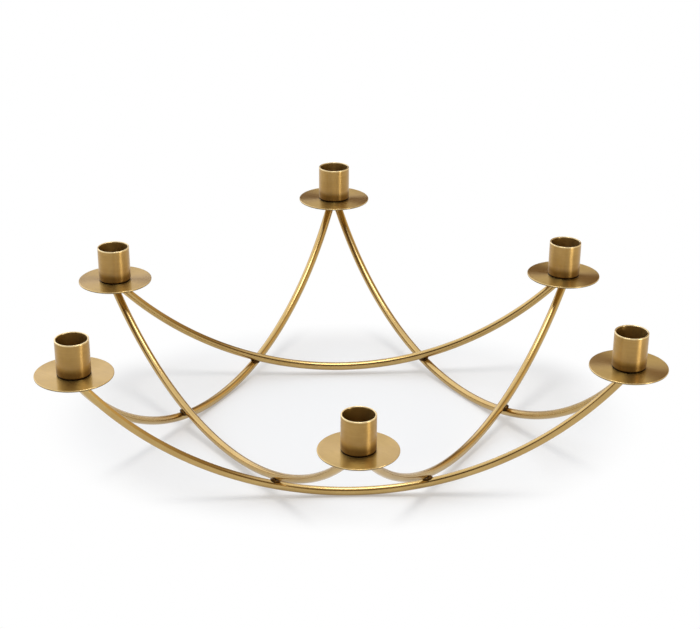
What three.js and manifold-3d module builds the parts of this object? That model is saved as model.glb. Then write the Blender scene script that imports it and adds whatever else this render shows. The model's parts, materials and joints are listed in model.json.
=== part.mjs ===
// Taper candle holder for six candles, in millimetres with +Z up.
// Two trios of bowed rods interlock: three long rods stand on the table and carry the high cups,
// and three short rods lie over them and carry the low cups.
// The origin is on the table, in the middle of the holder's footprint.

import * as THREE from 'three';
import { mergeVertices } from 'three/addons/utils/BufferGeometryUtils.js';
import Module from 'manifold-3d';

const wasm = await Module();
wasm.setup();

// Rods
const ROD_DIAMETER = 6.4;
const LONG_BOW_DEPTH = 98.5; // from the rod's ends down to its belly, in the rod's own plane
const SHORT_BOW_DEPTH = 76.8;
const LONG_ROD_LEAN = 3.4; // degrees that the bow's plane leans, belly towards the middle
const SHORT_ROD_LEAN = 2.6;
const ROD_END_SPREAD = 2.6; // between the two centre lines that end under one plate
const ROD_END_REACH = 2.4; // from the cup's axis out to where those two centre lines end

// Ring of cups
const HIGH_CUP_RADIUS = 231; // from the middle of the ring to the cup's axis, at the rod ends
const LOW_CUP_RADIUS = 207;
const CUP_LEAN = 2; // degrees that plates and cups lean outwards

// Drip plates
const PLATE_DIAMETER = 58;
const PLATE_THICKNESS = 1.2;
const PLATE_EDGE_ROUND = 0.4;

// Candle cups
const CUP_BORE = 22.8;
const CUP_WALL = 1.2;
const CUP_HEIGHT = 27.2;
const CUP_FLOOR = 1.5;
const CUP_FOOT_ROUND = 1.8; // outside, where the wall turns into the floor
const CUP_HEEL_ROUND = 1; // inside, where the wall turns into the floor
const CUP_RIM_ROUND = 0.4;

// Brazed joints
const SEAM = 0.3; // gap left between pieces that lie against each other
const CROSSING_FILLET = 1.3; // how far a crossing's bead spreads past the rod's radius
const CROSSING_FILLET_HEIGHT = 5;
const PLATE_FILLET = 5.2; // how far a plate's bead spreads past the rod's radius
const PLATE_FILLET_DEPTH = 3.4;

// Facets
const ROD_SIDES = 12; // a multiple of four, so that one side can face down
const ROD_STEPS = 27; // odd, so that the middle step of a bow lies level
const CUP_SIDES = 32;
const PLATE_SIDES = 48;
const FOOT_STEPS = 3;
const HEEL_STEPS = 2;
const EDGE_STEPS = 1; // a small eased edge is one flat
const BEAD_SIDES = 12;
const BEAD_RINGS = 6;

const ROD_RADIUS = ROD_DIAMETER / 2;
const CUP_RADIUS = CUP_BORE / 2 + CUP_WALL;
const HALF_ARM_ANGLE = Math.PI / 3; // a rod's middle is this far round the ring from each of its ends
const UP = new THREE.Vector3(0, 0, 1);

const PATINA_BRASS = { color: 0xa8854a, roughness: 0.38, metalness: 1 };
const PLATE_BRASS = { color: 0xb8955a, roughness: 0.34, metalness: 1 };
const FILLER_BRASS = { color: 0x8a6a3c, roughness: 0.55, metalness: 1 };

// Where the pieces stand round the ring, in degrees from +X
const HIGH_CUPS = [
  { place: 'back', azimuth: 90 },
  { place: 'front_left', azimuth: 210 },
  { place: 'front_right', azimuth: 330 },
];
const LOW_CUPS = [
  { place: 'back_right', azimuth: 30 },
  { place: 'back_left', azimuth: 150 },
  { place: 'front', azimuth: 270 },
];
const LONG_RODS = [
  { place: 'right', azimuth: 30, crossings: ['right', 'back_right'] },
  { place: 'left', azimuth: 150, crossings: ['back_left', 'left'] },
  { place: 'front', azimuth: 270, crossings: ['front_left', 'front_right'] },
];
const SHORT_RODS = [
  { place: 'back', azimuth: 90 },
  { place: 'left', azimuth: 210 },
  { place: 'right', azimuth: 330 },
];

// Closed solid for cutting, from a closed geometry moved by a matrix.
function toSolid(geometry, matrix = new THREE.Matrix4()) {
  const bare = geometry.clone().applyMatrix4(matrix);
  bare.deleteAttribute('normal');
  bare.deleteAttribute('uv');
  const merged = mergeVertices(bare);
  const mesh = new wasm.Mesh({
    numProp: 3,
    vertProperties: merged.attributes.position.array,
    triVerts: Uint32Array.from(merged.index.array),
  });
  return new wasm.Manifold(mesh);
}

function toGeometry(solid) {
  const { vertProperties, triVerts } = solid.getMesh();
  const geometry = new THREE.BufferGeometry();
  geometry.setAttribute('position', new THREE.BufferAttribute(vertProperties, 3));
  geometry.setIndex(new THREE.BufferAttribute(triVerts, 1));
  geometry.computeVertexNormals();
  return geometry;
}

function cut(solid, cutters) {
  return cutters.reduce((rest, cutter) => rest.subtract(cutter), solid);
}

// Block that fills everything past a plane, as far as the size given.
function blockBeyond(point, normal, size) {
  const turn = new THREE.Quaternion().setFromUnitVectors(UP, normal);
  const middle = point.clone().addScaledVector(normal, size / 2);
  const matrix = new THREE.Matrix4().compose(middle, turn, new THREE.Vector3(1, 1, 1));
  return toSolid(new THREE.BoxGeometry(size, size, size), matrix);
}

function turned(azimuth) {
  return new THREE.Matrix4().makeRotationZ(azimuth);
}

// Centre line of a bent rod: an arc in the XZ plane whose belly is at the origin.
// Its points lie just outside the arc, so that the straight steps between them touch it.
class Bow extends THREE.Curve {
  constructor(bendRadius, halfAngle) {
    super();
    this.bendRadius = bendRadius;
    this.halfAngle = halfAngle;
    this.reach = bendRadius / Math.cos(halfAngle / ROD_STEPS);
  }

  getPoint(t, target = new THREE.Vector3()) {
    const angle = THREE.MathUtils.lerp(-this.halfAngle, this.halfAngle, t);
    return target.set(
      this.reach * Math.sin(angle),
      0,
      this.bendRadius - this.reach * Math.cos(angle),
    );
  }
}

// Rod section whose flats touch the true circle, turned so that one flat faces down on a leaning rod.
function rodSection(radius, lean) {
  const corner = radius / Math.cos(Math.PI / ROD_SIDES);
  const points = Array.from({ length: ROD_SIDES }, (_, i) => {
    const angle = ((i + 0.5) * 2 * Math.PI) / ROD_SIDES - lean;
    return new THREE.Vector2(corner * Math.cos(angle), corner * Math.sin(angle));
  });
  return new THREE.Shape(points);
}

// One trio of alike rods. Each rod is worked out with its belly towards +X
// and its ends at plus and minus the half arm angle, then turned into place.
class Trio {
  constructor(cupRadius, bowDepth, leanDegrees) {
    this.cupRadius = cupRadius;
    this.lean = THREE.MathUtils.degToRad(leanDegrees);
    this.bowRise = bowDepth * Math.cos(this.lean);
    const endRadius = cupRadius + ROD_END_REACH;
    const endX = endRadius * Math.cos(HALF_ARM_ANGLE) + (ROD_END_SPREAD / 2) * Math.sin(HALF_ARM_ANGLE);
    const endY = endRadius * Math.sin(HALF_ARM_ANGLE) - (ROD_END_SPREAD / 2) * Math.cos(HALF_ARM_ANGLE);
    this.bellyX = endX - bowDepth * Math.sin(this.lean);
    this.bendRadius = (endY ** 2 + bowDepth ** 2) / (2 * bowDepth);
    this.halfAngle = Math.atan2(endY, this.bendRadius - bowDepth);
    this.bellyHeight = ROD_RADIUS;
  }

  get footHeight() {
    return this.bellyHeight + this.bowRise;
  }

  belly() {
    return new THREE.Vector3(this.bellyX, 0, this.bellyHeight);
  }

  // The full circle that the rod's centre line is part of.
  circle(azimuth) {
    const inPlane = new THREE.Vector3(Math.sin(this.lean), 0, Math.cos(this.lean));
    const normal = new THREE.Vector3(-Math.cos(this.lean), 0, Math.sin(this.lean));
    const centre = this.belly().addScaledVector(inPlane, this.bendRadius);
    const turn = turned(azimuth);
    return {
      centre: centre.applyMatrix4(turn),
      normal: normal.applyMatrix4(turn),
      radius: this.bendRadius,
    };
  }

  // Uncut rod that runs on past both ends by two diameters, fattened by a clearance.
  rodBlank(azimuth, clearance) {
    const overrun = (2 * ROD_DIAMETER) / this.bendRadius;
    const geometry = new THREE.ExtrudeGeometry(rodSection(ROD_RADIUS + clearance, this.lean), {
      steps: ROD_STEPS,
      extrudePath: new Bow(this.bendRadius, this.halfAngle + overrun),
    });
    const stand = new THREE.Matrix4()
      .makeRotationZ(Math.PI / 2)
      .multiply(new THREE.Matrix4().makeRotationX(this.lean))
      .setPosition(this.belly());
    return toSolid(geometry, turned(azimuth).multiply(stand));
  }

  // Centre of the rod ends under the plate at an azimuth, and the way that its candle points.
  foot(azimuth) {
    const outward = new THREE.Vector3(Math.cos(azimuth), Math.sin(azimuth), 0);
    const tilt = THREE.MathUtils.degToRad(CUP_LEAN);
    return {
      point: outward.clone().multiplyScalar(this.cupRadius).setZ(this.footHeight),
      axis: outward.multiplyScalar(Math.sin(tilt)).setZ(Math.cos(tilt)),
    };
  }

  // Finished rod: each end is cut flat under its plate and mitred against the neighbouring rod's end.
  rod() {
    const size = 4 * this.cupRadius;
    const cutters = [-1, 1].flatMap((side) => {
      const azimuth = side * HALF_ARM_ANGLE;
      const { point, axis } = this.foot(azimuth);
      const sideways = new THREE.Vector3(-Math.sin(azimuth), Math.cos(azimuth), 0).multiplyScalar(side);
      const mitre = point.clone().addScaledVector(sideways, -SEAM / 2);
      return [blockBeyond(point, axis, size), blockBeyond(mitre, sideways, size)];
    });
    return toGeometry(cut(this.rodBlank(0, 0), cutters));
  }

  // Bead that holds two rod ends to the underside of the plate at azimuth 0.
  plateBead() {
    const { point, axis } = this.foot(0);
    const spread = ROD_RADIUS + PLATE_FILLET;
    const matrix = new THREE.Matrix4().compose(
      point,
      new THREE.Quaternion().setFromUnitVectors(UP, axis),
      new THREE.Vector3(spread, spread, PLATE_FILLET_DEPTH),
    );
    return toGeometry(cut(beadBlank(matrix), [
      blockBeyond(point, axis, 4 * spread),
      this.rodBlank(-HALF_ARM_ANGLE, SEAM),
      this.rodBlank(HALF_ARM_ANGLE, SEAM),
    ]));
  }
}

function beadBlank(matrix) {
  const ball = new THREE.SphereGeometry(1, BEAD_SIDES, BEAD_RINGS).rotateX(Math.PI / 2);
  return toSolid(ball, matrix);
}

function nearestOnCircle(circle, point) {
  const arm = point.clone().sub(circle.centre).projectOnPlane(circle.normal);
  return arm.setLength(circle.radius).add(circle.centre);
}

// The two centre lines' nearest points where a short rod passes a long one.
function crossing(longTrio, shortTrio, shortAzimuth) {
  const longCircle = longTrio.circle(0);
  const shortCircle = shortTrio.circle(shortAzimuth);
  let below = longTrio.belly();
  let above = nearestOnCircle(shortCircle, below);
  for (let i = 0; i < 60; i += 1) {
    below = nearestOnCircle(longCircle, above);
    above = nearestOnCircle(shortCircle, below);
  }
  return { below, above };
}

// Sets the short rods down on the long ones, so that they touch at every crossing but for the seam.
function settle(longTrio, shortTrio) {
  let low = -longTrio.bowRise;
  let high = longTrio.bowRise;
  for (let i = 0; i < 60; i += 1) {
    shortTrio.bellyHeight = (low + high) / 2;
    const { below, above } = crossing(longTrio, shortTrio, HALF_ARM_ANGLE);
    const clear = above.z > below.z && above.distanceTo(below) > ROD_DIAMETER + SEAM;
    if (clear) {
      high = shortTrio.bellyHeight;
    } else {
      low = shortTrio.bellyHeight;
    }
  }
}

// Bead in the crevice between a long rod and the short rod on its left (-1) or right (1).
function crossingBead(longTrio, shortTrio, side) {
  const azimuth = side * HALF_ARM_ANGLE;
  const { below, above } = crossing(longTrio, shortTrio, azimuth);
  const spread = ROD_RADIUS + CROSSING_FILLET;
  const matrix = new THREE.Matrix4().compose(
    below.clone().lerp(above, 0.5),
    new THREE.Quaternion().setFromUnitVectors(UP, above.clone().sub(below).normalize()),
    new THREE.Vector3(spread, spread, CROSSING_FILLET_HEIGHT / 2),
  );
  const rods = [longTrio.rodBlank(0, SEAM), shortTrio.rodBlank(azimuth, SEAM)];
  return toGeometry(cut(beadBlank(matrix), rods));
}

// Points of a quarter round, from one angle to the next in degrees.
function quarterRound(centreX, centreY, radius, fromDegrees, toDegrees, steps) {
  return Array.from({ length: steps + 1 }, (_, i) => {
    const angle = THREE.MathUtils.degToRad(THREE.MathUtils.lerp(fromDegrees, toDegrees, i / steps));
    return new THREE.Vector2(centreX + radius * Math.cos(angle), centreY + radius * Math.sin(angle));
  });
}

function revolve(profile, sides) {
  return new THREE.LatheGeometry(profile, sides).rotateX(Math.PI / 2);
}

// Flat disc with eased edges, standing on z = 0.
function dripPlate() {
  const flat = PLATE_DIAMETER / 2 - PLATE_EDGE_ROUND;
  return revolve([
    new THREE.Vector2(0, 0),
    ...quarterRound(flat, PLATE_EDGE_ROUND, PLATE_EDGE_ROUND, -90, 0, EDGE_STEPS),
    ...quarterRound(flat, PLATE_THICKNESS - PLATE_EDGE_ROUND, PLATE_EDGE_ROUND, 0, 90, EDGE_STEPS),
    new THREE.Vector2(0, PLATE_THICKNESS),
  ], PLATE_SIDES);
}

// Drawn cup, standing on z = 0: rounded foot, eased rim, flat floor inside.
function candleCup() {
  const bore = CUP_BORE / 2;
  const rim = CUP_HEIGHT - CUP_RIM_ROUND;
  const heel = CUP_FLOOR + CUP_HEEL_ROUND;
  return revolve([
    new THREE.Vector2(0, 0),
    ...quarterRound(CUP_RADIUS - CUP_FOOT_ROUND, CUP_FOOT_ROUND, CUP_FOOT_ROUND, -90, 0, FOOT_STEPS),
    ...quarterRound(CUP_RADIUS - CUP_RIM_ROUND, rim, CUP_RIM_ROUND, 0, 90, EDGE_STEPS),
    ...quarterRound(bore + CUP_RIM_ROUND, rim, CUP_RIM_ROUND, 90, 180, EDGE_STEPS),
    ...quarterRound(bore - CUP_HEEL_ROUND, heel, CUP_HEEL_ROUND, 0, -90, HEEL_STEPS),
    new THREE.Vector2(0, CUP_FLOOR),
  ], CUP_SIDES);
}

function piece(name, geometry, finish) {
  const mesh = new THREE.Mesh(geometry, new THREE.MeshStandardMaterial(finish));
  mesh.name = name;
  return mesh;
}

// Piece whose geometry was worked out at azimuth 0, turned round the ring to its place.
function turnedPiece(name, geometry, finish, azimuthDegrees) {
  const mesh = piece(name, geometry, finish);
  mesh.rotation.z = THREE.MathUtils.degToRad(azimuthDegrees);
  return mesh;
}

// Plate, cup and bead that stand on the two rod ends at one place of a trio.
function addCandleStands(parent, trio, cups) {
  const plateGeometry = dripPlate();
  const cupGeometry = candleCup();
  const beadGeometry = trio.plateBead();
  for (const { place, azimuth } of cups) {
    const angle = THREE.MathUtils.degToRad(azimuth);
    const stand = new THREE.Group();
    stand.position.copy(trio.foot(angle).point);
    stand.rotation.set(0, THREE.MathUtils.degToRad(CUP_LEAN), angle, 'ZYX');
    const plate = piece(`drip_plate_${place}`, plateGeometry, PLATE_BRASS);
    plate.position.z = SEAM;
    const cup = piece(`candle_cup_${place}`, cupGeometry, PATINA_BRASS);
    cup.position.z = SEAM + PLATE_THICKNESS + SEAM;
    stand.add(plate, cup);
    parent.add(stand, turnedPiece(`plate_braze_${place}`, beadGeometry, FILLER_BRASS, azimuth));
  }
}

function addRods(parent, trio, kind, rods) {
  const geometry = trio.rod();
  for (const { place, azimuth } of rods) {
    parent.add(turnedPiece(`${kind}_rod_${place}`, geometry, PATINA_BRASS, azimuth));
  }
}

function addCrossingBeads(parent, longTrio, shortTrio) {
  const beads = [-1, 1].map((side) => crossingBead(longTrio, shortTrio, side));
  for (const { azimuth, crossings } of LONG_RODS) {
    crossings.forEach((place, i) => {
      parent.add(turnedPiece(`crossing_braze_${place}`, beads[i], FILLER_BRASS, azimuth));
    });
  }
}

const longTrio = new Trio(HIGH_CUP_RADIUS, LONG_BOW_DEPTH, LONG_ROD_LEAN);
const shortTrio = new Trio(LOW_CUP_RADIUS, SHORT_BOW_DEPTH, SHORT_ROD_LEAN);
settle(longTrio, shortTrio);

// The high cup at the back reaches further out than the low cup at the front.
const holder = new THREE.Group();
holder.position.y = (LOW_CUP_RADIUS - HIGH_CUP_RADIUS) / 2;
addRods(holder, longTrio, 'long', LONG_RODS);
addRods(holder, shortTrio, 'short', SHORT_RODS);
addCrossingBeads(holder, longTrio, shortTrio);
addCandleStands(holder, longTrio, HIGH_CUPS);
addCandleStands(holder, shortTrio, LOW_CUPS);

export default holder;
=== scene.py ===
"""Brass ring holder for six taper candles: the visual model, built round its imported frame.

Lengths are in metres. The holder stands on z = 0 with +Z up, and its front faces -Y.
Two trios of bent rods interlock. The long rods stand on the table and carry the high cups,
and the short rods lie over them and carry the low cups.
"""

import json
import logging
import math
from collections.abc import Callable, Iterator
from contextlib import contextmanager
from dataclasses import dataclass
from enum import Enum

import bmesh
import bpy
import numpy as np
from bpy.types import Material, Node, NodeSocket, NodeTree, Object
from mathutils import Matrix, Vector


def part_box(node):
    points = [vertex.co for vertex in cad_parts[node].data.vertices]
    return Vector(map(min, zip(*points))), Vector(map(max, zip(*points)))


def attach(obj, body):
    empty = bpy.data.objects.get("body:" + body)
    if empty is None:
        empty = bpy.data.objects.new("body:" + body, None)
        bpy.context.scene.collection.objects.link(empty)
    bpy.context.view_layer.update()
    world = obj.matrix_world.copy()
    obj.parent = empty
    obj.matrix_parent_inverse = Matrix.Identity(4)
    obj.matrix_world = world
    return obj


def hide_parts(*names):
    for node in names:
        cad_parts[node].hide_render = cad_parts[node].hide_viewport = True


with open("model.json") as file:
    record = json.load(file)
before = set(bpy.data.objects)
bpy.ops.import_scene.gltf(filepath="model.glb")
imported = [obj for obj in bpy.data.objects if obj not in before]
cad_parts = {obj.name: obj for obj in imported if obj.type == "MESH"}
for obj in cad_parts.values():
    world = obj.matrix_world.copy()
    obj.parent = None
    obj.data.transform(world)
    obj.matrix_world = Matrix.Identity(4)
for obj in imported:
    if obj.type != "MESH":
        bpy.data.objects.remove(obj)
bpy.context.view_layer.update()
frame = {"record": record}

MM = 0.001
UP = Vector((0, 0, 1))
SEAM = 0.3 * MM  # left between pieces that lie against each other
MERGED = 0.002 * MM  # points nearer than this become one
FLAT = 0.99  # the least part along an axis of the normal of a face that lies square to it

# Sizes that more than one class works with
RING_CENTRE = Matrix.Translation((0, -12 * MM, 0))
HALF_ARM = math.radians(60)  # a rod's belly is this far round the ring from each of its ends
ROD_RADIUS = 3.2 * MM  # 1/4 inch stock
BORE_RADIUS = 11.4 * MM
CUP_WALL = 1.2 * MM
CUP_RADIUS = BORE_RADIUS + CUP_WALL
CUP_HEIGHT = 27.19 * MM  # a hair under the frame's, so that no vertex passes its box
PLATE_RADIUS = 28.99 * MM  # likewise

# Attributes on the points of a piece
OWN_PLACE = "own_place"  # the point's place on the piece, in metres
GRAIN = "grain_direction"  # the way that the brushing lines run
BATCH = "batch"  # one number for each copy, so that no two have the same marks

# Settings of nodes that recur
ADD = {"operation": "ADD"}
CLAMPED_ADD = {"operation": "ADD", "use_clamp": True}
MULTIPLY = {"operation": "MULTIPLY"}
LARGER = {"operation": "MAXIMUM"}
COLOURS = {"data_type": "RGBA"}
SMOOTH = {"interpolation_type": "SMOOTHSTEP"}

# Sockets of the Mix node, where names recur
MIX_FACTOR = 0
FIRST_NUMBER, SECOND_NUMBER = 2, 3
FIRST_COLOUR, SECOND_COLOUR = 6, 7
COLOUR_RESULT = 2

NOISE_BAND = (0.3, 0.7)  # a noise texture's values hardly leave it
ACROSS = 0.25  # of a turn, so that the gloss spreads across the brushing lines
WHITE = (1, 1, 1, 1)

Link = Node | NodeSocket  # what feeds an input, where a node stands for its first output
Mapped = Callable[[np.ndarray], np.ndarray]  # from rows of points to rows of vectors

log = logging.getLogger("ring_holder")


class Slot(Enum):
    """Material slots of the record."""

    CUP = "cup_brass"
    PLATE = "plate_brass"
    ROD = "rod_brass"
    FILLER = "filler_brass"


class Station(Enum):
    """Places of the six cups, each with its azimuth from +X in degrees."""

    BACK = ("back", 90)
    FRONT_LEFT = ("front_left", 210)
    FRONT_RIGHT = ("front_right", 330)
    BACK_RIGHT = ("back_right", 30)
    BACK_LEFT = ("back_left", 150)
    FRONT = ("front", 270)

    @property
    def place(self) -> str:
        """The place's name, as in the frame's node names."""
        return self.value[0]

    @property
    def azimuth(self) -> int:
        """Degrees round the ring from +X."""
        return self.value[1]


HIGH_STATIONS = (Station.BACK, Station.FRONT_LEFT, Station.FRONT_RIGHT)
LOW_STATIONS = (Station.BACK_RIGHT, Station.BACK_LEFT, Station.FRONT)


def ring_turn(azimuth: float) -> Matrix:
    """Gives the placement, so many degrees round the ring from +X, of what is made at +X."""
    return RING_CENTRE @ Matrix.Rotation(math.radians(azimuth), 4, "Z")


def linear(colour: str) -> tuple[float, float, float, float]:
    """Turns an sRGB hex colour, such as "b8955a", to linear values and an opacity of 1."""
    parts = [int(colour[i : i + 2], 16) / 255 for i in (0, 2, 4)]
    return (*(c / 12.92 if c <= 0.04045 else ((c + 0.055) / 1.055) ** 2.4 for c in parts), 1.0)


def add_node(tree: NodeTree, kind: str, inputs: dict | None = None,
             settings: dict | None = None) -> Node:
    """Adds a shader node with its values, links and settings.

    Args:
        tree: the node tree to add to.
        kind: the node's type, such as "TexNoise".
        inputs: a value, or what to link, for each input by name or number.
        settings: properties of the node by name.

    Returns:
        The new node.
    """
    node = tree.nodes.new(f"ShaderNode{kind}")
    for name, value in (settings or {}).items():
        setattr(node, name, value)
    for name, value in (inputs or {}).items():
        if isinstance(value, Node):
            value = value.outputs[0]
        if isinstance(value, NodeSocket):
            tree.links.new(value, node.inputs[name])
        else:
            node.inputs[name].default_value = value
    return node


@dataclass(frozen=True)
class Ramp:
    """Change of a value between two places, such as the edge of a mask."""

    start: float
    end: float
    low: float = 0.0  # the result before the start
    high: float = 1.0  # the result past the end

    def inputs(self, value: Link) -> dict[str, Link | float]:
        """Gives the inputs of a Map Range node that reads a value."""
        return {"Value": value, "From Min": self.start, "From Max": self.end,
                "To Min": self.low, "To Max": self.high}


# Modelling by hand


@contextmanager
def editing(piece: Object) -> Iterator[None]:
    """Opens edit mode on one piece with nothing in it selected, and leaves it again.

    Args:
        piece: the mesh object to edit.
    """
    select_only(piece)
    bpy.ops.object.mode_set(mode="EDIT")
    bpy.ops.mesh.select_all(action="DESELECT")
    yield
    bpy.ops.object.mode_set(mode="OBJECT")


def begin(add: Callable[..., set[str]], **sizes: object) -> Object:
    """Adds a primitive with nothing else selected, and puts its place into its mesh.

    Args:
        add: the operator that adds it.
        sizes: what the operator is given.

    Returns:
        The new piece.
    """
    bpy.ops.object.select_all(action="DESELECT")
    add(**sizes)
    bpy.ops.object.transform_apply(location=True, rotation=True, scale=True)
    return bpy.context.active_object


def select_only(piece: Object) -> None:
    """Makes a piece the only selected object and the active one."""
    bpy.ops.object.select_all(action="DESELECT")
    piece.select_set(True)
    bpy.context.view_layer.objects.active = piece


def pick(piece: Object, kind: str, wanted: Callable[..., bool]) -> None:
    """Selects faces or edges in edit mode.

    Args:
        piece: the mesh object in edit mode.
        kind: "FACE" or "EDGE".
        wanted: tells of a face or edge whether to select it.
    """
    bpy.ops.mesh.select_mode(type=kind)
    mesh = bmesh.from_edit_mesh(piece.data)
    for part in mesh.faces if kind == "FACE" else mesh.edges:
        part.select_set(wanted(part))
    bmesh.update_edit_mesh(piece.data)


def round_edges(piece: Object, height: float, radius: float, rounding: float,
                segments: int) -> None:
    """Bevels the ring of edges at a height and radius of a round piece in edit mode.

    Args:
        piece: the mesh object in edit mode, with its axis on Z.
        height: where the ring lies along Z.
        radius: the ring's radius.
        rounding: radius of the new rounded edge.
        segments: steps of the rounding.
    """
    near = 0.05 * MM

    def on_ring(edge: bmesh.types.BMEdge) -> bool:
        """Tells whether both ends lie on the ring."""
        return all(abs(end.co.z - height) < near and abs(end.co.xy.length - radius) < near
                   for end in edge.verts)

    pick(piece, "EDGE", on_ring)
    bpy.ops.mesh.bevel(offset=rounding, offset_type="OFFSET", segments=segments, affect="EDGES")


def inset_flats(piece: Object, widths: tuple[float, ...]) -> None:
    """Insets the flats in the middle of a round piece in edit mode.

    Args:
        piece: the mesh object in edit mode, with its axis on Z.
        widths: width of each new ring of faces, from the outside in.
    """
    pick(piece, "FACE", lambda face: (abs(face.normal.z) > FLAT
                                      and face.calc_center_median().xy.length < MM))
    for width in widths:
        bpy.ops.mesh.inset(thickness=width)


def cut_beyond(piece: Object, point: Vector, normal: Vector) -> None:
    """Cuts off all that lies past a plane and closes the cut.

    Args:
        piece: the mesh object.
        point: a point of the plane.
        normal: the side that is cut off.
    """
    with editing(piece):
        bpy.ops.mesh.select_all(action="SELECT")
        bpy.ops.mesh.bisect(plane_co=point, plane_no=normal, use_fill=True, clear_outer=True)


def finish_surface(piece: Object, angle: float = 32) -> None:
    """Turns the faces outwards and shades them smooth up to an angle in degrees."""
    with editing(piece):
        bpy.ops.mesh.select_all(action="SELECT")
        bpy.ops.mesh.remove_doubles(threshold=MERGED)
        bpy.ops.mesh.normals_make_consistent(inside=False)
    select_only(piece)
    bpy.ops.object.shade_smooth_by_angle(angle=math.radians(angle))


def settle_place(piece: Object, placement: Matrix) -> None:
    """Moves a piece to its place and puts the place into its mesh."""
    piece.matrix_world = placement
    select_only(piece)
    bpy.ops.object.transform_apply(location=True, rotation=True, scale=True)


def leaning(axis: Vector) -> Matrix:
    """Gives the turn that takes +Z to an axis."""
    return UP.rotation_difference(axis).to_matrix().to_4x4()


def discard(*pieces: Object) -> None:
    """Deletes helper pieces that aren't part of the object."""
    for piece in pieces:
        bpy.data.objects.remove(piece, do_unlink=True)


def subtract(piece: Object, cutters: list[Object]) -> None:
    """Cuts other pieces out of one with applied boolean modifiers."""
    for cutter in cutters:
        modifier = piece.modifiers.new("cut", "BOOLEAN")
        modifier.operation = "DIFFERENCE"
        modifier.solver = "EXACT"
        modifier.object = cutter
        select_only(piece)
        bpy.ops.object.modifier_apply(modifier=modifier.name)


def store(piece: Object, name: str, values: np.ndarray) -> None:
    """Writes one number or vector for each point of a piece as an attribute of its mesh.

    Args:
        piece: the mesh object.
        name: the attribute's name.
        values: one row for each point.
    """
    vector = values.ndim == 2
    layer = piece.data.attributes.new(name, "FLOAT_VECTOR" if vector else "FLOAT", "POINT")
    layer.data.foreach_set("vector" if vector else "value", values.astype(np.float32).ravel())


def install(model: Object, name: str, node: str, material: Material,
            placement: Matrix, batch: float, places: Mapped | None = None,
            grain: Mapped | None = None) -> None:
    """Copies a model to its place, dresses the copy and lets it stand for a node of the frame.

    Args:
        model: the piece as it was modelled.
        name: the copy's name.
        node: name of the node that it replaces.
        material: the finish.
        placement: the matrix that takes it to its place.
        batch: the copy's batch number.
        places: turns points of the model to the piece's own coordinates, where they differ.
        grain: gives the way of the brushing lines at points of the model.
    """
    select_only(model)
    bpy.ops.object.duplicate(linked=False)
    piece = bpy.context.active_object
    piece.name = piece.data.name = name
    settle_place(piece, placement)
    points = np.empty(len(piece.data.vertices) * 3)
    piece.data.vertices.foreach_get("co", points)
    back = np.array(placement.inverted())
    points = points.reshape(-1, 3) @ back[:3, :3].T + back[:3, 3]
    store(piece, OWN_PLACE, places(points) if places else points)
    if grain:
        store(piece, GRAIN, grain(points) @ np.array(placement.to_3x3()).T)
    store(piece, BATCH, np.full(len(points), batch))
    piece.data.materials.clear()
    piece.data.materials.append(material)
    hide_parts(node)
    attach(piece, "root")
    low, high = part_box(node)
    corners = [vertex.co for vertex in piece.data.vertices]
    over = max(max(low[i] - min(p[i] for p in corners), max(p[i] for p in corners) - high[i])
               for i in range(3))
    log.info("%s: %d faces, %.2f mm past the box of %s",
             name, len(piece.data.polygons), over / MM, node)


# Finishes


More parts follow.
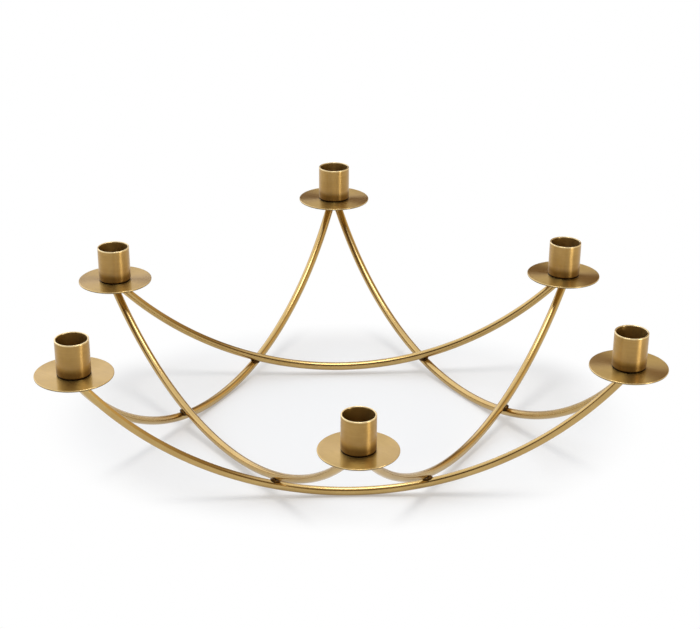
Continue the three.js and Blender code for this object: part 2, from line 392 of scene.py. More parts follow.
@dataclass(frozen=True)
class Brass:
    """Satin brass under a thin clear lacquer.

    Brass is CuZn37. Brushing leaves fine parallel lines, so highlights run across them,
    and the lacquer adds a faint white gloss over the metal's own coloured one.
    """

    name: str
    polished: str  # where the brushing has bared the metal
    patina: str  # where some age is left on it
    roughness: float
    wave_depth: float  # unevenness left by forming, which makes reflections wander
    wave_size: float = 20 * MM
    rubbed: str = "e6cd97"  # painted highlight on edges, partly bright metal worn where they get handled
    rubbed_roughness: float = 0.25
    tarnish: str = "644518"  # painted reflection of the plate, low on the cups, and the darker bore
    shadow: str = "35200c"  # painted shade in corners and on the lower edges
    shadow_roughness: float = 0.5
    roughness_spread: float = 0.03
    anisotropy: float = 0.0
    lacquer: float = 0.35
    lacquer_roughness: float = 0.08
    line_spacing: float = 0.5 * MM  # real lines are near 0.1 mm, too fine for one pixel to hold
    line_length: float = 18 * MM
    line_depth: float = 0.0003 * MM
    line_contrast: float = 0.1
    mottle_size: float = 14 * MM
    mottle: float = 0.5  # share of the way from patina to polished that the mottling takes

    def coordinates(self, tree: NodeTree) -> tuple[Link, Link]:
        """Adds the piece's own coordinates.

        Args:
            tree: the material's node tree.

        Returns:
            The plain coordinates, and the same moved by the piece's batch number.
        """
        own = add_node(tree, "Attribute", None, {"attribute_name": OWN_PLACE}).outputs["Vector"]
        batch = add_node(tree, "Attribute", None, {"attribute_name": BATCH}).outputs["Fac"]
        return own, add_node(tree, "VectorMath", {0: own, 1: batch}, ADD)

    def along(self) -> tuple[float, float, float]:
        """Lines for each metre along x, y and z of the piece's own coordinates."""
        return (1 / self.line_length, 1 / self.line_length, 1 / self.line_spacing)

    def line_coordinates(self, tree: NodeTree, own: Link) -> Link:
        """Adds coordinates that are long along the lines and short across them."""
        return add_node(tree, "VectorMath", {0: own, 1: self.along()}, MULTIPLY)

    def bare(self, tree: NodeTree, own: Link) -> Link | None:
        """Adds a mask of painted highlight on edges, partly real wear, or gives None."""
        return None

    def tarnished(self, tree: NodeTree, own: Link) -> Link | None:
        """Adds a mask of painted reflection, and of a darker bore, or gives None."""
        return None

    def dirty(self, tree: NodeTree, own: Link) -> Link | None:
        """Adds a mask of painted shade in corners and on lower edges, or gives None."""
        return None

    def material(self) -> Material:
        """Builds the node material.

        Returns:
            The material, with its colour, roughness and bump from the piece's own coordinates.
        """
        made = bpy.data.materials.new(self.name)
        made.use_nodes = True
        tree = made.node_tree
        tree.nodes.clear()
        own, moved = self.coordinates(tree)
        stretched = self.line_coordinates(tree, moved)
        lines = add_node(tree, "TexNoise", {"Vector": stretched, "Scale": 1.0, "Detail": 2.0})
        mottle = add_node(tree, "TexNoise",
                          {"Vector": moved, "Scale": 1 / self.mottle_size, "Detail": 3.0,
                           "Roughness": 0.6})
        wave = add_node(tree, "TexNoise",
                        {"Vector": moved, "Scale": 1 / self.wave_size, "Detail": 1.0})
        clouds = Ramp(*NOISE_BAND, 0.5 - self.mottle / 2, 0.5 + self.mottle / 2)
        stripes = Ramp(*NOISE_BAND, -self.line_contrast, self.line_contrast)
        gloss = Ramp(*NOISE_BAND, self.roughness + self.roughness_spread,
                     self.roughness - self.roughness_spread)
        cloud_part, line_part, roughness = (
            add_node(tree, "MapRange", ramp.inputs(noise))
            for ramp, noise in ((clouds, mottle), (stripes, lines), (gloss, lines)))
        share = add_node(tree, "Math", {0: cloud_part, 1: line_part}, CLAMPED_ADD)
        colour = add_node(tree, "Mix",
                          {MIX_FACTOR: share, FIRST_COLOUR: linear(self.patina),
                           SECOND_COLOUR: linear(self.polished)}, COLOURS).outputs[COLOUR_RESULT]
        # Over the metal's colour go the painted reflection with the darker bore, the painted
        # highlight on edges and the painted shade in corners
        for mask, shade, rough in (
                (self.tarnished(tree, own), self.tarnish, self.roughness),
                (self.bare(tree, own), self.rubbed, self.rubbed_roughness),
                (self.dirty(tree, own), self.shadow, self.shadow_roughness)):
            if mask is not None:
                colour = add_node(tree, "Mix",
                                  {MIX_FACTOR: mask, FIRST_COLOUR: colour,
                                   SECOND_COLOUR: linear(shade)}, COLOURS).outputs[COLOUR_RESULT]
                roughness = add_node(tree, "Mix",
                                     {MIX_FACTOR: mask, FIRST_NUMBER: roughness,
                                      SECOND_NUMBER: rough})
        waves = add_node(tree, "Bump",
                         {"Height": wave, "Strength": 1.0, "Distance": self.wave_depth})
        bump = add_node(tree, "Bump",
                        {"Height": lines, "Strength": 1.0, "Distance": self.line_depth,
                         "Normal": waves})
        shader = add_node(tree, "BsdfPrincipled",
                          {"Base Color": colour, "Metallic": 1.0, "Roughness": roughness,
                           "Normal": bump, "Coat Weight": self.lacquer,
                           "Coat Roughness": self.lacquer_roughness, "Coat Normal": waves})
        if self.anisotropy:
            grain = add_node(tree, "Attribute", None, {"attribute_name": GRAIN})
            unit = add_node(tree, "VectorMath", {0: grain.outputs["Vector"]},
                            {"operation": "NORMALIZE"})
            tree.links.new(unit.outputs[0], shader.inputs["Tangent"])
            shader.inputs["Anisotropic"].default_value = self.anisotropy
            shader.inputs["Anisotropic Rotation"].default_value = ACROSS
        add_node(tree, "OutputMaterial", {"Surface": shader})
        return made


def radius_and_height(tree: NodeTree, own: Link) -> tuple[Link, Link]:
    """Adds the distance from the piece's own axis, and the height along it."""
    flat = add_node(tree, "VectorMath", {0: own, 1: (1, 1, 0)}, MULTIPLY)
    radius = add_node(tree, "VectorMath", {0: flat}, {"operation": "LENGTH"})
    height = add_node(tree, "SeparateXYZ", {0: own})
    return radius.outputs["Value"], height.outputs["Z"]


@dataclass(frozen=True)
class TurnedBrass(Brass):
    """Cup brass, brushed round its axis on a lathe: each light is an upright streak on it."""

    name: str = "turned_satin_brass"
    polished: str = "bc9858"
    patina: str = "a68243"
    roughness: float = 0.40
    anisotropy: float = 0.92
    wave_size: float = 12 * MM
    wave_depth: float = 0.25 * MM
    wander: float = 4 * MM  # how far up and down the edge of the painted reflection goes
    # rim: painted highlight, partly wear; foot: painted reflection of the plate; corner: painted
    # shade
    rim: Ramp = Ramp(CUP_HEIGHT - 1.0 * MM, CUP_HEIGHT - 0.4 * MM)  # these three over the height
    foot: Ramp = Ramp(11.5 * MM, 6 * MM, 0.0, 0.76)
    corner: Ramp = Ramp(1.6 * MM, 0.5 * MM)
    bore: Ramp = Ramp(BORE_RADIUS + 0.35 * MM, BORE_RADIUS + 0.1 * MM, 0.0, 0.55)  # over the radius: the bore is darker

    def bare(self, tree: NodeTree, own: Link) -> Link:
        """Adds a mask of the rim: painted highlight, partly wear where candles and fingers rub it.
        """
        height = radius_and_height(tree, own)[1]
        return add_node(tree, "MapRange", self.rim.inputs(height), SMOOTH)

    def tarnished(self, tree: NodeTree, own: Link) -> Link:
        """Adds a mask of the bore, which is darker, and of the lowest part, with a painted
        reflection of the plate.
        """
        radius, height = radius_and_height(tree, own)
        cloud = add_node(tree, "TexNoise",
                         {"Vector": own, "Scale": 1 / self.mottle_size, "Detail": 2.0})
        uneven = add_node(tree, "Math", {0: cloud, 1: self.wander, 2: height},
                          {"operation": "MULTIPLY_ADD"})
        low = add_node(tree, "MapRange", self.foot.inputs(uneven), SMOOTH)
        inside = add_node(tree, "MapRange", self.bore.inputs(radius), SMOOTH)
        return add_node(tree, "Math", {0: inside, 1: low}, LARGER)

    def dirty(self, tree: NodeTree, own: Link) -> Link:
        """Adds a mask of painted shade at the foot against the plate, and so on the bottom of the
        bore.
        """
        height = radius_and_height(tree, own)[1]
        return add_node(tree, "MapRange", self.corner.inputs(height), SMOOTH)


@dataclass(frozen=True)
class FacedBrass(Brass):
    """Plate brass, faced in a lathe: its rings are too fine to see and fan lights into rays."""

    name: str = "faced_satin_brass"
    polished: str = "bf9d58"
    patina: str = "a88744"
    roughness: float = 0.29
    roughness_spread: float = 0.015
    anisotropy: float = 0.97
    line_depth: float = 0.0
    wave_depth: float = 0.06 * MM
    # The first three over the radius. rim is a painted highlight, partly wear; edge and cup_ring
    # are painted shade
    rim: Ramp = Ramp(PLATE_RADIUS - 0.59 * MM, PLATE_RADIUS - 0.29 * MM, 0.0, 0.45)
    edge: Ramp = Ramp(PLATE_RADIUS - 0.49 * MM, PLATE_RADIUS - 0.19 * MM, 0.0, 0.8)
    cup_ring: Ramp = Ramp(CUP_RADIUS + 0.3 * MM, CUP_RADIUS - 0.7 * MM)
    lower_half: Ramp = Ramp(0.8 * MM, 0.5 * MM)  # over the height

    def line_coordinates(self, tree: NodeTree, own: Link) -> Link:
        """Adds coordinates that are long round the plate and short along its radius."""
        radius = radius_and_height(tree, own)[0]
        across = add_node(tree, "Math", {0: radius, 1: 1 / self.line_spacing}, MULTIPLY)
        flat = add_node(tree, "VectorMath",
                        {0: own, 1: (1 / self.line_length, 1 / self.line_length, 0)}, MULTIPLY)
        parts = add_node(tree, "SeparateXYZ", {0: flat}).outputs
        return add_node(tree, "CombineXYZ", {"X": parts["X"], "Y": parts["Y"], "Z": across})

    def bare(self, tree: NodeTree, own: Link) -> Link:
        """Adds a mask of the plate's edge: painted highlight, partly wear."""
        radius = radius_and_height(tree, own)[0]
        return add_node(tree, "MapRange", self.rim.inputs(radius), SMOOTH)

    def dirty(self, tree: NodeTree, own: Link) -> Link:
        """Adds a mask of painted shade round the cup's foot, and on the edge's lower half, which is
        partly a real dark sheared edge.
        """
        radius, height = radius_and_height(tree, own)
        foot, outer, low = (
            add_node(tree, "MapRange", ramp.inputs(value), SMOOTH)
            for ramp, value in ((self.cup_ring, radius), (self.edge, radius),
                                (self.lower_half, height)))
        shaded_lower_edge = add_node(tree, "Math", {0: outer, 1: low}, MULTIPLY)
        return add_node(tree, "Math", {0: foot, 1: shaded_lower_edge}, LARGER)


@dataclass(frozen=True)
class DrawnBrass(Brass):
    """Rod brass, drawn through a die and polished: it mirrors the room in long stripes."""

    name: str = "drawn_polished_brass"
    polished: str = "c0a266"
    patina: str = "ab8b50"
    roughness: float = 0.2
    roughness_spread: float = 0.004
    anisotropy: float = 0.3
    mottle_size: float = 22 * MM
    wave_depth: float = 0.01 * MM
    line_spacing: float = 1.2 * MM  # die marks are finer than this, which is as fine as can show
    line_length: float = 40 * MM
    line_depth: float = 0.0
    line_contrast: float = 0.03

    def along(self) -> tuple[float, float, float]:
        """Lines run along x, the length of the rod."""
        return (1 / self.line_length, 1 / self.line_spacing, 1 / self.line_spacing)


@dataclass(frozen=True)
class BrazedBrass(Brass):
    """Filler that ran into a joint and cooled there: dull, dark with burnt flux, and lumpy."""

    name: str = "brazing_filler"
    polished: str = "6c4a20"
    patina: str = "1e1308"
    roughness: float = 0.35
    lacquer: float = 0.0
    line_spacing: float = 1.2 * MM
    line_length: float = 1.2 * MM
    line_depth: float = 0.12 * MM
    mottle_size: float = 3.5 * MM
    mottle: float = 1.0
    wave_size: float = 3 * MM
    wave_depth: float = 0.2 * MM


# Rods


@dataclass(frozen=True)
class Bow:
    """Arc that one trio's rods are bent to, worked out with the belly towards +X of the ring."""

    cup_radius: float  # from the middle of the ring to the cups' axes, at the rod ends
    depth: float  # from the rod's ends down to its belly, in the rod's own plane
    lean: float  # radians that the plane leans, belly towards the middle
    belly_height: float
    cup_lean: float = math.radians(2)
    end_spread: float = 2.6 * MM  # between the two centre lines that end under one plate
    end_reach: float = 2.4 * MM  # from the cup's axis out to where those two centre lines end

    @property
    def end(self) -> Vector:
        """The centre line's end, square to the belly: its reach along X and along Y."""
        half = self.end_spread / 2
        radius = self.cup_radius + self.end_reach
        return Vector((radius * math.cos(HALF_ARM) + half * math.sin(HALF_ARM),
                       radius * math.sin(HALF_ARM) - half * math.cos(HALF_ARM)))

    @property
    def bend_radius(self) -> float:
        """Radius of the arc's centre line."""
        return (self.end.y**2 + self.depth**2) / (2 * self.depth)

    @property
    def half_angle(self) -> float:
        """Angle of the arc from its belly to either end."""
        return math.atan2(self.end.y, self.bend_radius - self.depth)

    @property
    def belly(self) -> Vector:
        """Lowest point of the centre line."""
        return Vector((self.end.x - self.depth * math.sin(self.lean), 0, self.belly_height))

    @property
    def upright(self) -> Vector:
        """The way from the belly to the arc's centre."""
        return Vector((math.sin(self.lean), 0, math.cos(self.lean)))

    @property
    def normal(self) -> Vector:
        """The way that the arc's plane faces, outwards from the ring."""
        return Vector((math.cos(self.lean), 0, -math.sin(self.lean)))

    @property
    def centre(self) -> Vector:
        """Centre of the arc."""
        return self.belly + self.upright * self.bend_radius

    def foot(self, azimuth: float) -> tuple[Vector, Vector]:
        """Middle of the rod ends under one plate.

        Args:
            azimuth: radians round the ring from the belly.

        Returns:
            The point, and the way that the candle points.
        """
        outward = Vector((math.cos(azimuth), math.sin(azimuth), 0))
        height = self.belly_height + self.depth * math.cos(self.lean)
        axis = outward * math.sin(self.cup_lean) + UP * math.cos(self.cup_lean)
        return outward * self.cup_radius + UP * height, axis

    def nearest(self, point: Vector, azimuth: float) -> Vector:
        """Point of the full circle, turned round the ring, that is nearest to another.

        Args:
            point: the other point.
            azimuth: radians that the circle is turned round the ring.

        Returns:
            The nearest point of the circle.
        """
        turn = Matrix.Rotation(azimuth, 3, "Z")
        arm = turn.inverted() @ point - self.centre
        arm -= self.normal * arm.dot(self.normal)
        return turn @ (self.centre + arm.normalized() * self.bend_radius)


@dataclass(frozen=True)
class RodTrio:
    """Three alike bent rods of one trio."""

    kind: str  # "long" or "short", as in the frame's node names
    bow: Bow
    azimuths: tuple[tuple[str, int], ...]  # each rod's place, and its belly's azimuth in degrees
    sides: int = 40
    steps: int = 150
    overrun: float = 4 * ROD_RADIUS  # that a blank goes on past each end
    smooth_angle: float = 40  # degrees
    batch_step: float = 1.7  # from one copy's batch number to the next

    def blank(self, clearance: float = 0.0) -> Object:
        """Spins an open tube along the bow that runs on past both of its ends.

        Args:
            clearance: how much wider than the rod it is, in radius.

        Returns:
            The tube, with its belly towards +X of the ring.
        """
        bow = self.bow
        reach = bow.half_angle + self.overrun / bow.bend_radius
        section = bow.centre + Matrix.Rotation(-reach, 3, bow.normal) @ (bow.belly - bow.centre)
        heading = bow.normal.cross(section - bow.centre)
        facing = heading.to_track_quat("Z", "X").to_euler()
        tube = begin(bpy.ops.mesh.primitive_circle_add, vertices=self.sides,
                     radius=ROD_RADIUS + clearance, location=section, rotation=facing)
        with editing(tube):
            bpy.ops.mesh.select_all(action="SELECT")
            bpy.ops.mesh.spin(steps=self.steps, angle=-2 * reach, center=bow.centre,
                              axis=bow.normal)
        return tube

    def rod(self) -> Object:
        """Cuts a blank flat under its two plates and mitres it against the neighbouring rods."""
        rod = self.blank()
        for side in (-1, 1):
            azimuth = side * HALF_ARM
            foot, axis = self.bow.foot(azimuth)
            sideways = Vector((-math.sin(azimuth), math.cos(azimuth), 0)) * side
            cut_beyond(rod, foot, axis)
            cut_beyond(rod, foot - sideways * SEAM / 2, sideways)
        finish_surface(rod, self.smooth_angle)
        return rod

    def cutter(self, azimuth: float) -> Object:
        """Makes a closed rod, a seam wider than the real one, to cut beads with.

        Args:
            azimuth: radians round the ring from the belly of the rod.

        Returns:
            The helper piece.
        """
        tube = self.blank(SEAM)
        with editing(tube):
            bpy.ops.mesh.select_mode(type="EDGE")
            bpy.ops.mesh.select_non_manifold(extend=False)
            bpy.ops.mesh.edge_face_add()
        finish_surface(tube)
        settle_place(tube, Matrix.Rotation(azimuth, 4, "Z"))
        return tube

    def own_places(self, points: np.ndarray) -> np.ndarray:
        """Turns points of a rod to its length, and two directions across it.

        Args:
            points: rows in the trio's own frame.

        Returns:
            Rows of length along the arc from its belly, height off the arc and way off its plane.
        """
        bow = self.bow
        arms = points - np.array(bow.centre)
        across = arms @ np.array(bow.normal)
        down = -(arms @ np.array(bow.upright))
        side = arms[:, 1]
        length = np.arctan2(side, down) * bow.bend_radius
        return np.stack([length, np.hypot(side, down) - bow.bend_radius, across], axis=1)

    def grain(self, points: np.ndarray) -> np.ndarray:
        """Gives the way along the rod at each of its points."""
        return np.cross(np.array(self.bow.normal), points - np.array(self.bow.centre))

    def build(self, finish: Brass) -> None:
        """Models one rod and copies it to the three places.

        Args:
            finish: the rods' finish.
        """
        rod = self.rod()
        material = finish.material()
        for number, (place, azimuth) in enumerate(self.azimuths):
            install(rod, f"bent_rod_{self.kind}_{place}", f"{self.kind}_rod_{place}",
                    material, ring_turn(azimuth), number * self.batch_step,
                    self.own_places, self.grain)
        discard(rod)


# Candle stands


@dataclass(frozen=True)
class CandleStands:
    """The six drip plates with their cups."""

    plate_radius: float = PLATE_RADIUS
    plate_thickness: float = 1.2 * MM
    # Rings of faces across the flats, the first a narrow one that keeps their shading flat
    plate_rings: tuple[float, ...] = (0.4 * MM, 6 * MM, 6 * MM, 6 * MM, 6 * MM)
    cup_rings: tuple[float, ...] = (0.4 * MM, 3 * MM)
    cup_height: float = CUP_HEIGHT
    cup_radius: float = CUP_RADIUS
    cup_wall: float = CUP_WALL
    cup_floor: float = 1.5 * MM
    bore_radius: float = BORE_RADIUS
    foot_rounding: float = 1.8 * MM
    foot_steps: int = 8
    heel_rounding: float = 1.0 * MM  # where the bore meets its floor
    heel_steps: int = 5
    edge_rounding: float = 0.4 * MM
    edge_steps: int = 4
    sides: int = 144
    batch_step: float = 2.3

    def cup(self) -> Object:
        """Turns one cup, standing on z = 0: hollowed from the top, with rounded foot and rim."""
        cup = begin(bpy.ops.mesh.primitive_cylinder_add, vertices=self.sides,
                    radius=self.cup_radius, depth=self.cup_height,
                    location=(0, 0, self.cup_height / 2))
        hollow = (0, 0, self.cup_floor - self.cup_height)
        with editing(cup):
            pick(cup, "FACE", lambda face: face.normal.z > FLAT)
            bpy.ops.mesh.inset(thickness=self.cup_wall)
            bpy.ops.mesh.extrude_region_move(TRANSFORM_OT_translate={"value": hollow})
            for height, radius, rounding, steps in (
                    (self.cup_floor, self.bore_radius, self.heel_rounding, self.heel_steps),
                    (0, self.cup_radius, self.foot_rounding, self.foot_steps),
                    (self.cup_height, self.cup_radius, self.edge_rounding, self.edge_steps),
                    (self.cup_height, self.bore_radius, self.edge_rounding, self.edge_steps)):
                round_edges(cup, height, radius, rounding, steps)
            inset_flats(cup, self.cup_rings)
        finish_surface(cup)
        return cup

    def plate(self) -> Object:
        """Stamps one plate, standing on z = 0, with eased edges."""
        plate = begin(bpy.ops.mesh.primitive_cylinder_add, vertices=self.sides,
                      radius=self.plate_radius, depth=self.plate_thickness,
                      location=(0, 0, self.plate_thickness / 2))
        with editing(plate):
            for height in (0, self.plate_thickness):
                round_edges(plate, height, self.plate_radius, self.edge_rounding, self.edge_steps)
            inset_flats(plate, self.plate_rings)
        finish_surface(plate)
        return plate

    def build(self, cup_finish: TurnedBrass, plate_finish: FacedBrass) -> None:
        """Models one cup and one plate and copies them to the six places.

        Args:
            cup_finish: the cups' finish.
            plate_finish: the plates' finish.
        """
        seats = {m["name"]: m for m in frame["record"]["mounts"]}
        cup_floor = Matrix.Translation((0, 0, -self.cup_floor))
        below_cup = Matrix.Translation((0, 0, -SEAM - self.plate_thickness))
        kinds = (
            (self.cup(), cup_finish.material(), "turned_cup", "candle_cup", Slot.CUP, cup_floor),
            (self.plate(), plate_finish.material(), "faced_plate", "drip_plate", Slot.PLATE,
             cup_floor @ below_cup),
        )
        for number, station in enumerate(Station):
            mount = seats[f"candle_seat_{station.place}"]
            standing = Matrix.Translation(mount["pos_m"]) @ leaning(Vector(mount["axis"]))
            for model, material, name, node, slot, offset in kinds:
                install(model, f"{name}_{station.place}", f"{node}_{station.place}", material,
                        standing @ offset, number * self.batch_step,
                        grain=lambda points: np.cross((0, 0, 1), points))
        discard(*(kind[0] for kind in kinds))


# Brazed joints


@dataclass(frozen=True)
class Brazing:
    """Beads of filler, in the crevice of each crossing and round each pair of rod ends."""

    long_trio: RodTrio
    short_trio: RodTrio
    crossing_spread: float = 0.8 * MM  # both spreads go past the rod's radius
    crossing_height: float = 3.8 * MM
    plate_spread: float = 5.2 * MM
    plate_depth: float = 3.4 * MM
    sides: int = 48
    rings: int = 24
    smooth_angle: float = 50
    batch_step: float = 0.9
    tries: int = 60  # by then the two nearest points of a crossing stand still

    def blob(self, size: Vector, placement: Matrix) -> Object:
        """Adds a flattened ball.

        Args:
            size: its three half axes.
            placement: where it goes, and how it is turned.

        Returns:
            The new piece.
        """
        ball = begin(bpy.ops.mesh.primitive_uv_sphere_add, segments=self.sides,
                     ring_count=self.rings, radius=1)
        settle_place(ball, placement @ Matrix.Diagonal((*size, 1)))
        return ball

    def crossing_bead(self, side: int) -> Object:
        """Makes the bead between a long rod and the short rod on its left or right.

        Args:
            side: -1 for the left, 1 for the right.

        Returns:
            The bead, beside the long rod whose belly is towards +X.
        """
        azimuth = side * HALF_ARM
        below = self.long_trio.bow.belly
        above = self.short_trio.bow.nearest(below, azimuth)
        for _ in range(self.tries):
            below = self.long_trio.bow.nearest(above, 0)
            above = self.short_trio.bow.nearest(below, azimuth)
        log.info("rods cross %.2f mm apart", (above - below).length / MM)
        spread = ROD_RADIUS + self.crossing_spread
        middle = Matrix.Translation((below + above) / 2) @ leaning((above - below).normalized())
        bead = self.blob(Vector((spread, spread, self.crossing_height / 2)), middle)
        cutters = [self.long_trio.cutter(0), self.short_trio.cutter(azimuth)]
        subtract(bead, cutters)
        discard(*cutters)
        finish_surface(bead, self.smooth_angle)
        return bead

    def plate_bead(self, trio: RodTrio) -> Object:
        """Makes the bead round the two rod ends under the plate at azimuth 0 of a trio."""
        foot, axis = trio.bow.foot(0)
        spread = ROD_RADIUS + self.plate_spread
        bead = self.blob(Vector((spread, spread, self.plate_depth)),
                         Matrix.Translation(foot) @ leaning(axis))
        cut_beyond(bead, foot, axis)
        cutters = [trio.cutter(-HALF_ARM), trio.cutter(HALF_ARM)]
        subtract(bead, cutters)
        discard(*cutters)
        finish_surface(bead, self.smooth_angle)
        return bead

    def build(self, finish: BrazedBrass) -> None:
        """Models the beads and copies them to the twelve places.

        Args:
            finish: the filler's finish.
        """
        material = finish.material()
        crossings = (  # the side of the long rod, and each crossing's place and azimuth
            (-1, (("right", 30), ("back_left", 150), ("front_left", 270))),
            (1, (("back_right", 30), ("left", 150), ("front_right", 270))),
        )
        for side, places in crossings:
            bead = self.crossing_bead(side)
            for number, (place, azimuth) in enumerate(places):
                install(bead, f"braze_at_crossing_{place}", f"crossing_braze_{place}",
                        material, ring_turn(azimuth), number * self.batch_step)
            discard(bead)
        for trio, stations in ((self.long_trio, HIGH_STATIONS), (self.short_trio, LOW_STATIONS)):
            bead = self.plate_bead(trio)
            for number, station in enumerate(stations):
                install(bead, f"braze_under_plate_{station.place}",
                        f"plate_braze_{station.place}", material,
                        ring_turn(station.azimuth), number * self.batch_step)
            discard(bead)


# Studio


@dataclass(frozen=True)
class Studio:
    """Pale table, soft lights and the camera at the photograph's angle.

    The ramps of the world run over the part of a direction that points right, back or up.
    """

    table_half: float = 6.0
    table_colour: str = "f6f3ee"
    table_white: Ramp = Ramp(0.165, 0.22, 0.3)  # share of plain white, outwards from the holder
    table_oval: tuple[float, float, float] = (0.92, 1.15, 1)  # scales what that is measured on
    table_shift: tuple[float, float, float] = (0, -5 * MM, 0)  # and this moves it
    key_height: float = 1.2
    key_size: float = 0.36
    key_power: float = 2.9  # watts
    strip_place: tuple[float, float, float] = (0.9, -0.72, 0.14)
    strip_size: tuple[float, float] = (0.34, 0.26)
    strip_power: float = 2.3  # watts
    glow_azimuth: float = -41.0  # degrees from +Y to +X, where the softbox behind the holder is
    glow_elevation: float = 55.0
    glow_inner: float = 39.0  # degrees from its middle that it is still full
    glow_outer: float = 49.7
    glow_strength: float = 1.75  # 1 is white, for all strengths here
    glow_colour: str = "eaf2ff"  # daylight against the warm room
    glow_top: Ramp = Ramp(0.7, 0.85, 1.0, 0.8)  # its share of that overhead
    ceiling: Ramp = Ramp(0.83, 0.92, 0.0, 1.2)  # strength of the pale ceiling that metal mirrors
    room_colour: str = "ffcc88"  # the room that metal mirrors is warm
    side_colour: str = "ffeac0"  # and paler on the right, where it gets light
    side: Ramp = Ramp(0.2, 0.85)
    walls: Ramp = Ramp(0.0, 1.0, 0.22, 1.1)  # the room's strength, over that share of the right
    behind: Ramp = Ramp(-0.9, -0.2, 0.6, 1.0)  # the room is dimmer in front
    above: Ramp = Ramp(0.35, 0.8, 1.0, 0.6)  # and high up
    low: Ramp = Ramp(0.2, 0.1)  # low down it is white, like the table
    lift: Ramp = Ramp(-0.2, -0.7, 0.0, 0.3)  # and up to this much higher in front
    fill_strength: float = 0.24  # what the room sends down to the table
    photo_width: int = 700  # pixels
    focal_length: float = 2635.3  # pixels of the photograph
    azimuth: float = 2.707  # degrees that the camera's view is turned towards +X
    elevation: float = 23.462  # degrees that it looks down
    roll: float = 0.391  # degrees that it is tilted
    distance: float = 2248.98 * MM  # from the camera to the point of the table that it looks at
    aim: tuple[float, float, float] = (13.75 * MM, 209.76 * MM, 0.0)
    sensor_width: float = 36.0  # millimetres
    view_depth: float = 50.0

    def camera(self) -> None:
        """Adds the camera."""
        data = bpy.data.cameras.new("camera")
        data.sensor_width = self.sensor_width
        data.lens = self.focal_length / self.photo_width * self.sensor_width
        data.clip_end = self.view_depth
        camera = bpy.data.objects.new("camera", data)
        bpy.context.scene.collection.objects.link(camera)
        turn = (Matrix.Rotation(math.radians(-self.azimuth), 4, "Z")
                @ Matrix.Rotation(math.radians(90 - self.elevation), 4, "X")
                @ Matrix.Rotation(math.radians(self.roll), 4, "Z"))
        back = turn.to_3x3() @ UP
        camera.matrix_world = Matrix.Translation(Vector(self.aim) + back * self.distance) @ turn
        bpy.context.scene.camera = camera

    @staticmethod
    def seen(tree: NodeTree) -> Link:
        """Adds a value that is 1 to the camera, by way of metal too, and 0 to light that falls."""
        ray = add_node(tree, "LightPath").outputs
        first = add_node(tree, "Math", {0: ray["Is Camera Ray"], 1: ray["Is Glossy Ray"]}, ADD)
        return add_node(tree, "Math", {0: first, 1: ray["Is Transmission Ray"]}, CLAMPED_ADD)

    def table(self) -> None:
        """Adds the table, near white round the holder and running out to plain white."""
        table = begin(bpy.ops.mesh.primitive_plane_add, size=2 * self.table_half)
        table.name = "table"
        made = bpy.data.materials.new("matt_white_table")
        made.use_nodes = True
        tree = made.node_tree
        tree.nodes.clear()
        place = add_node(tree, "TexCoord").outputs["Object"]
        oval = add_node(tree, "Mapping",
                        {"Vector": place, "Location": self.table_shift, "Scale": self.table_oval})
        distance = add_node(tree, "VectorMath", {0: oval}, {"operation": "LENGTH"}).outputs["Value"]
        far = add_node(tree, "MapRange", self.table_white.inputs(distance), SMOOTH)
        white_part = add_node(tree, "Math", {0: far, 1: self.seen(tree)}, MULTIPLY)
        matt = add_node(tree, "BsdfDiffuse", {"Color": linear(self.table_colour)})
        white = add_node(tree, "Emission", {"Color": WHITE, "Strength": 1.0})
        both = add_node(tree, "MixShader", {0: white_part, 1: matt, 2: white})
        add_node(tree, "OutputMaterial", {"Surface": both})
        table.data.materials.append(made)

    def lights(self) -> None:
        """Adds two lamps that face the holder: one overhead, and a low one for the far shadows."""
        for name, place, size, power in (
                ("overhead_softbox", (0, 0, self.key_height), (self.key_size, self.key_size),
                 self.key_power),
                ("side_strip", self.strip_place, self.strip_size, self.strip_power)):
            data = bpy.data.lights.new(name, "AREA")
            data.shape = "RECTANGLE"
            data.size, data.size_y = size
            data.energy = power
            lamp = bpy.data.objects.new(name, data)
            bpy.context.scene.collection.objects.link(lamp)
            facing = Vector(place).to_track_quat("Z", "Y").to_matrix().to_4x4()
            lamp.matrix_world = Matrix.Translation(place) @ facing

    def softbox(self, tree: NodeTree, way: Link, up: Link, seen: Link) -> Link:
        """Adds the big softbox behind the holder, and the ceiling as metal mirrors it.

        Args:
            tree: the world's node tree.
            way: the direction.
            up: the part of it that points up.
            seen: 1 to the camera and 0 to light that falls.

        Returns:
            The shader of the stronger of the two.
        """
        turn = (Matrix.Rotation(math.radians(-self.glow_azimuth), 3, "Z")
                @ Matrix.Rotation(math.radians(self.glow_elevation), 3, "X"))
        near = add_node(tree, "VectorMath", {0: way, 1: turn @ Vector((0, 1, 0))},
                        {"operation": "DOT_PRODUCT"}).outputs["Value"]
        cap = Ramp(math.cos(math.radians(self.glow_outer)), math.cos(math.radians(self.glow_inner)),
                   0.0, self.glow_strength)
        full, top, ceiling = (
            add_node(tree, "MapRange", ramp.inputs(value), SMOOTH)
            for ramp, value in ((cap, near), (self.glow_top, up), (self.ceiling, up)))
        box = add_node(tree, "Math", {0: full, 1: top}, MULTIPLY)
        mirrored = add_node(tree, "Math", {0: ceiling, 1: seen}, MULTIPLY)
        strength = add_node(tree, "Math", {0: box, 1: mirrored}, LARGER)
        return add_node(tree, "Background",
                        {"Color": linear(self.glow_colour), "Strength": strength})

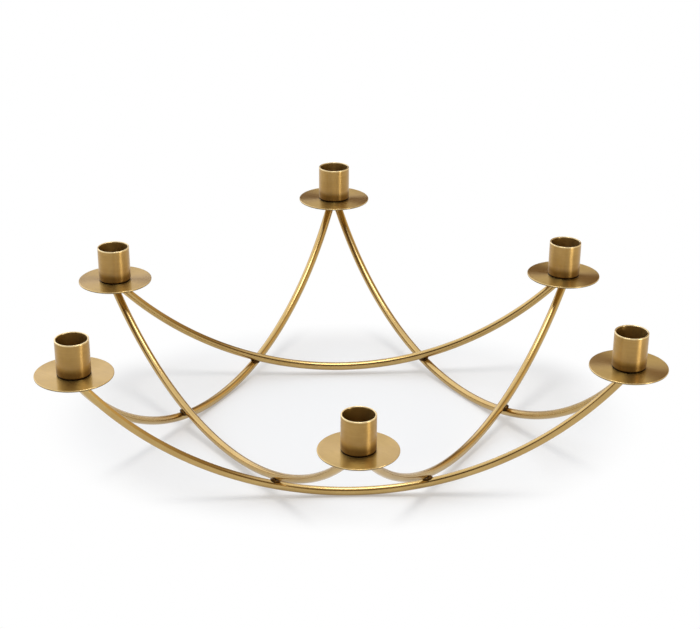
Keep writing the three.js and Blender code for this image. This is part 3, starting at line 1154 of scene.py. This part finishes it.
    def room(self, tree: NodeTree, parts: Node, seen: Link) -> Link:
        """Adds the warm room that metal mirrors, which lights the table as a plain dim white.

        Args:
            tree: the world's node tree.
            parts: the node that gives the direction's three parts.
            seen: 1 to the camera and 0 to light that falls.

        Returns:
            The room's shader.
        """
        right, behind, above = (
            add_node(tree, "MapRange", ramp.inputs(parts.outputs[part]), SMOOTH)
            for ramp, part in ((self.side, "X"), (self.behind, "Y"), (self.above, "Z")))
        strength = add_node(tree, "MapRange", self.walls.inputs(right))
        for share in (behind, above):
            strength = add_node(tree, "Math", {0: strength, 1: share}, MULTIPLY)
        colour = add_node(tree, "Mix",
                          {MIX_FACTOR: right, FIRST_COLOUR: linear(self.room_colour),
                           SECOND_COLOUR: linear(self.side_colour)}, COLOURS).outputs[COLOUR_RESULT]
        mirrored = add_node(tree, "Background", {"Color": colour, "Strength": strength})
        fill = add_node(tree, "Background", {"Color": WHITE, "Strength": self.fill_strength})
        return add_node(tree, "MixShader", {0: seen, 1: fill, 2: mirrored})

    def world(self) -> None:
        """Adds what is all round: the room with its softbox, and plain white low down."""
        world = bpy.data.worlds.new("studio")
        bpy.context.scene.world = world
        world.use_nodes = True
        tree = world.node_tree
        tree.nodes.clear()
        way = add_node(tree, "TexCoord").outputs["Generated"]
        parts = add_node(tree, "SeparateXYZ", {0: way})
        up = parts.outputs["Z"]
        seen = self.seen(tree)
        lit = add_node(tree, "AddShader",
                       {0: self.room(tree, parts, seen), 1: self.softbox(tree, way, up, seen)})
        lift = add_node(tree, "MapRange", self.lift.inputs(parts.outputs["Y"]), SMOOTH)
        height = add_node(tree, "Math", {0: up, 1: lift}, {"operation": "SUBTRACT"})
        low = add_node(tree, "MapRange", self.low.inputs(height), SMOOTH)
        white_part = add_node(tree, "Math", {0: low, 1: seen}, MULTIPLY)
        white = add_node(tree, "Background", {"Color": WHITE, "Strength": 1.0})
        both = add_node(tree, "MixShader", {0: white_part, 1: lit, 2: white})
        add_node(tree, "OutputWorld", {"Surface": both})

    def build(self) -> None:
        """Sets the colour handling and adds everything round the holder."""
        bpy.context.scene.view_settings.view_transform = "Standard"
        self.camera()
        self.table()
        self.lights()
        self.world()
        log.info("studio ready")


def main() -> None:
    """Builds the studio and then the holder, from its rods up to its cups."""
    logging.basicConfig(level=logging.INFO, format="%(message)s")
    Studio().build()
    long_trio = RodTrio(
        kind="long",
        bow=Bow(cup_radius=231 * MM, depth=98.5 * MM, lean=math.radians(3.4),
                belly_height=ROD_RADIUS),
        azimuths=(("right", 30), ("left", 150), ("front", 270)),
    )
    short_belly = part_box("short_rod_back")[0].z + ROD_RADIUS
    short_trio = RodTrio(
        kind="short",
        bow=Bow(cup_radius=207 * MM, depth=76.8 * MM, lean=math.radians(2.6),
                belly_height=short_belly),
        azimuths=(("back", 90), ("left", 210), ("right", 330)),
    )
    rod_finish = DrawnBrass()
    long_trio.build(rod_finish)
    short_trio.build(rod_finish)
    CandleStands().build(TurnedBrass(), FacedBrass())
    Brazing(long_trio, short_trio).build(BrazedBrass())


if __name__ == "__main__":
    main()
